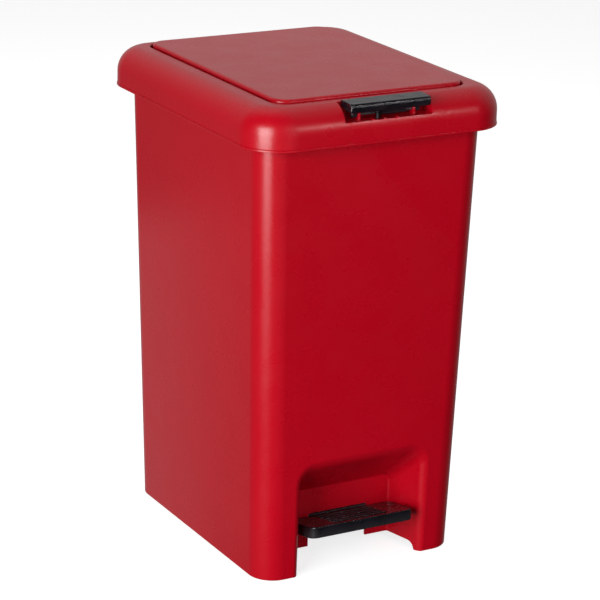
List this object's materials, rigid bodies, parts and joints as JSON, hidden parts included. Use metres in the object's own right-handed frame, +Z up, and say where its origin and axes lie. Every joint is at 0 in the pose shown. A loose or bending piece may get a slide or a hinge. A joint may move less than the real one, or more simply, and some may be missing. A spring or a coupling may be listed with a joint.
{
  "type": "pedal waste bin",
  "caption": "Rectangular plastic waste bin with a foot pedal, a pedal-lifted lid, a push-latched flap in the lid and a lift-out inner bucket.",
  "frame": {"origin": "on the floor, under the middle of the body", "axes": "+X to the right seen from the front, front and pedal towards -Y, +Z up"},
  "size_m": [0.283, 0.3442, 0.493],
  "materials": {
    "red_plastic": "satin",
    "black_plastic": "satin",
    "bucket_plastic": "matte",
    "steel": "satin",
    "rubber": "matte"
  },
  "bodies": {
    "bin": {"bin_body": "red_plastic", "lid_pin_right": "steel", "lid_pin_left": "steel", "pedal_bearing_right": "black_plastic", "pedal_bearing_left": "black_plastic", "pedal_pin": "steel", "lid_buffer_right": "rubber", "lid_buffer_left": "rubber", "rod_guide_lower": "black_plastic", "rod_guide_upper": "black_plastic", "rod_cover": "red_plastic"},
    "lid": {"lid_ring": "red_plastic", "lift_fork": "black_plastic", "latch_pin": "black_plastic", "latch_spring": "steel", "flap_pin_right": "steel", "flap_pin_left": "steel", "flap_spring_right": "steel", "flap_spring_left": "steel"},
    "pedal": {"pedal_tread": "black_plastic", "pedal_lever": "black_plastic"},
    "rod": {"push_rod": "black_plastic", "cross_pin": "steel"},
    "flap": {"lid_flap": "red_plastic"},
    "latch": {"latch_button": "black_plastic"},
    "bucket": {"inner_bucket": "bucket_plastic"},
    "handle": {"bucket_handle": "black_plastic"}
  },
  "joints": [
    {"name": "lid_hinge", "type": "hinge", "parent": "bin", "child": "lid", "pos_m": [0, 0.15999, 0.4552], "axis": [-1, 0, 0], "range_deg": [0, 67.2]},
    {"name": "pedal_hinge", "type": "hinge", "parent": "bin", "child": "pedal", "pos_m": [0, -0.0395, 0.03192], "axis": [1, 0, 0], "range_deg": [0, 15]},
    {"name": "rod_slide", "type": "slide", "parent": "bin", "child": "rod", "axis": [0, 0, 1], "range_m": [0, 0.04385]},
    {"name": "flap_hinge", "type": "hinge", "parent": "lid", "child": "flap", "pos_m": [0, 0.12939, 0.486], "axis": [-1, 0, 0], "range_deg": [0, 85], "deforming": ["flap_spring_right", "flap_spring_left"]},
    {"name": "latch_hinge", "type": "hinge", "parent": "lid", "child": "latch", "pos_m": [0, -0.16019, 0.4782], "axis": [1, 0, 0], "range_deg": [0, 8], "stiffness_Nm_per_rad": 0.2, "deforming": ["latch_spring"]},
    {"name": "bucket_lift", "type": "slide", "parent": "bin", "child": "bucket", "axis": [0, 0, 1], "range_m": [0, 0.005]},
    {"name": "handle_hinge", "type": "hinge", "parent": "bucket", "child": "handle", "pos_m": [0, 0, 0.4655], "axis": [-1, 0, 0], "range_deg": [0, 2]}
  ],
  "couplings": [
    {"joint": "pedal_hinge", "follows": "lid_hinge", "ratio": 0.2232},
    {"joint": "rod_slide", "follows": "lid_hinge", "m_per_rad": 0.037376}
  ]
}
